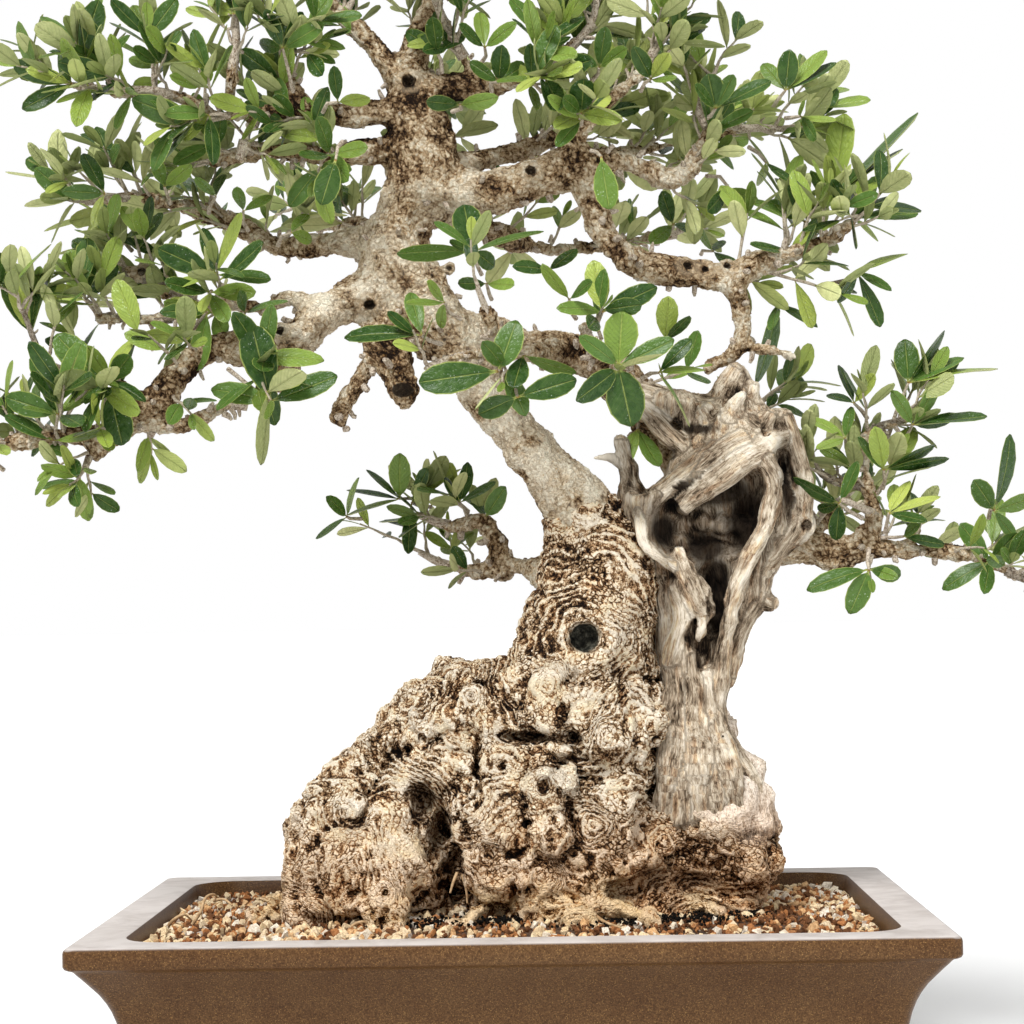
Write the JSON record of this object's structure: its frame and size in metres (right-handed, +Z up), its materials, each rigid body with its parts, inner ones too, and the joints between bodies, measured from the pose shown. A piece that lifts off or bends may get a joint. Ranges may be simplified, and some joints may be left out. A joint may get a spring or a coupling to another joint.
{
  "type": "olive bonsai",
  "caption": "Old olive tree trained as a bonsai: knotted burr, hollow deadwood, leaning trunk and leafy limbs, rooted in grit in a rectangular clay pot on four feet.",
  "frame": {"origin": "middle of the object's outline seen from above, on the surface the pot stands on", "axes": "+Z up, +X to the right along the pot's long side, +Y from the tree's front to its back"},
  "size_m": [0.625, 0.287, 0.6358],
  "materials": {
    "clay": "matte",
    "grit": "matte",
    "mesh": "matte",
    "bark": "matte",
    "leaf": "satin"
  },
  "bodies": {
    "root": {"pot": "clay", "soil": "grit", "drain_mesh_left": "mesh", "drain_mesh_right": "mesh", "olive_wood": "bark", "spray_left_top_tip": "leaf", "spray_left_top_1": "leaf", "spray_left_top_2": "leaf", "spray_left_top_3": "leaf", "spray_left_top_4": "leaf", "spray_left_top_5": "leaf", "spray_left_top_6": "leaf", "spray_left_high_tip": "leaf", "spray_left_high_front": "leaf", "spray_left_back_tip": "leaf", "spray_left_back_1": "leaf", "spray_left_back_2": "leaf", "spray_left_back_3": "leaf", "spray_left_middle_riser": "leaf", "spray_left_middle_tip": "leaf", "spray_left_middle_front": "leaf", "spray_left_main_front": "leaf", "spray_left_main_leaf": "leaf", "spray_left_low_riser": "leaf", "spray_left_low_front": "leaf", "spray_left_low_tip": "leaf", "spray_left_low_drop": "leaf", "spray_left_low_back": "leaf", "spray_front_riser": "leaf", "spray_front_left": "leaf", "spray_front_centre": "leaf", "spray_front_right": "leaf", "spray_front_low": "leaf", "spray_second_trunk": "leaf", "spray_top_left": "leaf", "spray_top_front": "leaf", "spray_top_right": "leaf", "spray_top_right_front": "leaf", "spray_apex": "leaf", "spray_apex_left": "leaf", "spray_apex_right": "leaf", "spray_apex_back": "leaf", "spray_right_top_front": "leaf", "spray_right_top_high": "leaf", "spray_right_top_riser": "leaf", "spray_right_top_tip": "leaf", "spray_right_top_back": "leaf", "spray_right_high": "leaf", "spray_right_main_tip": "leaf", "spray_right_main_1": "leaf", "spray_right_main_low": "leaf", "spray_back_left": "leaf", "spray_back_centre": "leaf", "spray_back_right": "leaf", "spray_right_low_1": "leaf", "spray_right_low_2": "leaf", "spray_right_low_drop": "leaf", "spray_right_low_tip": "leaf", "spray_right_low_back": "leaf", "spray_back_low": "leaf"}
  },
  "joints": []
}
